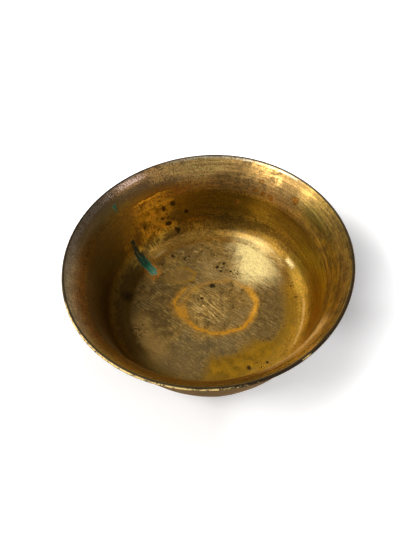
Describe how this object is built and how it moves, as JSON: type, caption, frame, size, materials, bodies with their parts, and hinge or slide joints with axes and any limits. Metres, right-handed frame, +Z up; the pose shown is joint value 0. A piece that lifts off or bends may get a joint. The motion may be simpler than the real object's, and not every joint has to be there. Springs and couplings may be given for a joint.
{
  "type": "offering bowl",
  "caption": "Round footed metal bowl with a near-upright wall, an outward-flaring lip and a brazed ring foot, set out to hold offerings such as water, grain or flowers.",
  "frame": {"origin": "on the bowl's axis, in the plane of the foot's resting face", "axes": "+Z up along the bowl's axis, X and Y level, with no preferred direction about the axis"},
  "size_m": [0.1196, 0.1196, 0.0478],
  "materials": {
    "bowl_brass": "old brass, worn bright inside, scratched, pitted and stained",
    "foot_brass": "red-brown patina, worn on its resting edge",
    "braze_metal": "dull, slightly rough braze"
  },
  "bodies": {
    "root": {"bowl_body": "bowl_brass", "foot_ring": "foot_brass", "braze_seam": "braze_metal"}
  },
  "joints": []
}
